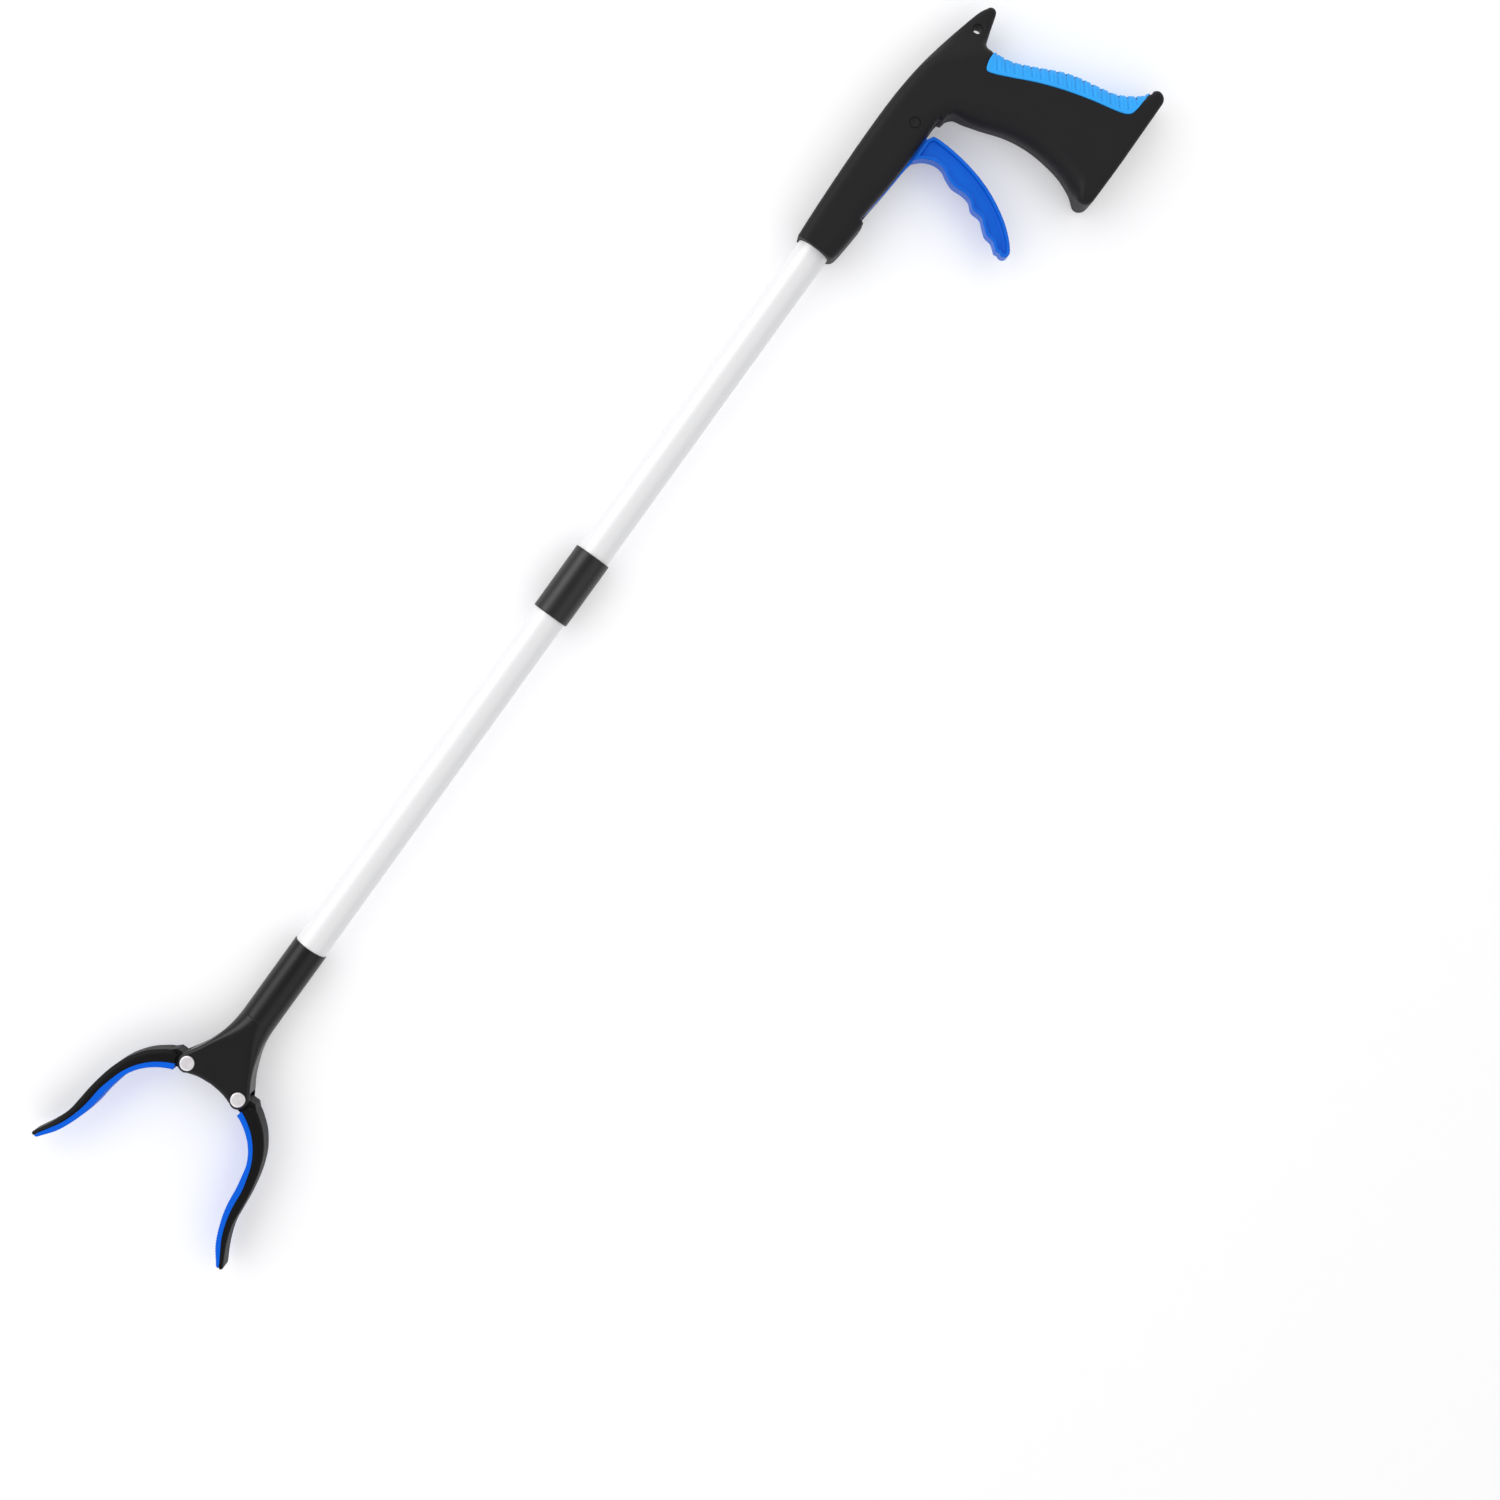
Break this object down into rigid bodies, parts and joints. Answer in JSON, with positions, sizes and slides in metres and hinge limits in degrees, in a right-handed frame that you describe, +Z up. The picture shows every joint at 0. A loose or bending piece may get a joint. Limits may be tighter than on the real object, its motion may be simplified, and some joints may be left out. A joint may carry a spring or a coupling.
{
  "type": "reacher grabber",
  "caption": "Long-handled reacher with a pistol grip, squeeze trigger, jointed tube pole with lock sleeve, and two curved padded jaws.",
  "frame": {"origin": "centre of the whole object's box at the level of the handle's resting face, with the grabber lying on its side", "axes": "+X along the pole towards the jaws, +Y towards the grip, +Z up from the resting face"},
  "size_m": [0.8146, 0.1716, 0.028],
  "materials": {
    "housing": "matte black moulded plastic",
    "head": "semi-gloss black moulded plastic",
    "jaw": "satin black moulded plastic",
    "sleeve": "satin black plastic",
    "pad": "soft light blue ribbed rubber",
    "trigger": "satin blue plastic",
    "liner": "blue non-slip rubber",
    "tube": "satin anodised aluminium",
    "rivet": "plated steel",
    "steel": "bright steel",
    "acetal": "natural acetal"
  },
  "bodies": {
    "pole": {"housing_near": "housing", "housing_far": "housing", "grip_pad": "pad", "housing_screws": "steel", "trigger_pin": "steel", "roller_pin": "steel", "upper_tube": "tube", "lower_tube": "tube", "hinge_plug_upper": "head", "hinge_plug_lower": "head", "hinge_links": "steel", "hinge_pins": "steel", "head_housing": "head", "jaw_rivets": "rivet", "return_spring": "steel"},
    "trigger": {"trigger": "trigger", "cable_anchor": "steel", "cable_tail": "steel"},
    "roller": {"guide_roller": "acetal"},
    "draw_bar": {"pull_cable": "steel", "cable_ferrule": "steel", "crosshead": "acetal", "crosshead_pin": "steel"},
    "jaw_left": {"jaw_left": "jaw", "liner_left": "liner"},
    "jaw_right": {"jaw_right": "jaw", "liner_right": "liner"},
    "sleeve": {"joint_sleeve": "sleeve"}
  },
  "joints": [
    {"name": "trigger_squeeze", "type": "hinge", "parent": "pole", "child": "trigger", "pos_m": [-0.3157, -0.0172, 0.014], "axis": [0, 0, 1], "range_deg": [0, 27.5], "stiffness_Nm_per_rad": 0.35, "springref_deg": -20.05, "deforming": ["return_spring", "cable_tail"]},
    {"name": "roller_turn", "type": "hinge", "parent": "pole", "child": "roller", "pos_m": [-0.2874, -0.0184, 0.014], "axis": [0, 0, 1], "range_deg": [0, 178]},
    {"name": "draw", "type": "slide", "parent": "pole", "child": "draw_bar", "axis": [-1, 0, 0], "range_m": [0, 0.0118]},
    {"name": "jaw_left_turn", "type": "hinge", "parent": "pole", "child": "jaw_left", "pos_m": [0.3262, -0.0391, 0.014], "axis": [0, 0, 1], "range_deg": [0, 38.5]},
    {"name": "jaw_right_turn", "type": "hinge", "parent": "pole", "child": "jaw_right", "pos_m": [0.3262, -0.0053, 0.014], "axis": [0, 0, 1], "range_deg": [-38.5, 0]},
    {"name": "sleeve_slide", "type": "slide", "parent": "pole", "child": "sleeve", "axis": [-1, 0, 0], "range_m": [0, 0.045]}
  ],
  "couplings": [
    {"joint": "roller_turn", "follows": "trigger_squeeze", "ratio": 6.4604},
    {"joint": "draw", "follows": "trigger_squeeze", "m_per_rad": 0.024555},
    {"joint": "jaw_left_turn", "follows": "trigger_squeeze", "ratio": 1.3929},
    {"joint": "jaw_right_turn", "follows": "trigger_squeeze", "ratio": -1.3929}
  ]
}
